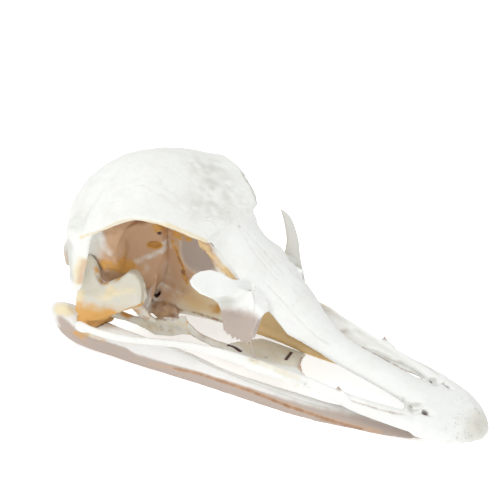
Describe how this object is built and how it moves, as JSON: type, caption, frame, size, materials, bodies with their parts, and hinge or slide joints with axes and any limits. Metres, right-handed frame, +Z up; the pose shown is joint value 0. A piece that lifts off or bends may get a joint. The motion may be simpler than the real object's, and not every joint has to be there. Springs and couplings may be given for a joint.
{
  "type": "ostrich skull",
  "caption": "Cleaned bird skull with a broad low bill, large open orbits, thin cheek bars and its lower jaw, at life size.",
  "frame": {"origin": "middle of the skull's length and width, on the level that the lower jaw rests on", "axes": "+X along the bill towards its tip, +Y to the animal's left, +Z up"},
  "size_m": [0.1922, 0.08, 0.0809],
  "materials": {
    "braincase_bone": "matte",
    "bill_bone": "matte",
    "amber_bone": "matte",
    "joint_bone": "matte",
    "palate_bone": "matte",
    "jaw_bone": "matte"
  },
  "bodies": {
    "root": {"cranium": "braincase_bone", "nasals": "bill_bone", "orbital_septum": "amber_bone", "premaxilla": "bill_bone", "lacrimal_right": "bill_bone", "lacrimal_left": "bill_bone", "quadrate_right": "joint_bone", "quadrate_left": "joint_bone", "pterygoid_right": "palate_bone", "pterygoid_left": "palate_bone", "palatine_right": "palate_bone", "palatine_left": "palate_bone", "maxilla_right": "bill_bone", "maxilla_left": "bill_bone", "jugal_right": "bill_bone", "jugal_left": "bill_bone", "mandible_right": "jaw_bone", "mandible_left": "jaw_bone", "mandible_tip": "jaw_bone"}
  },
  "joints": []
}
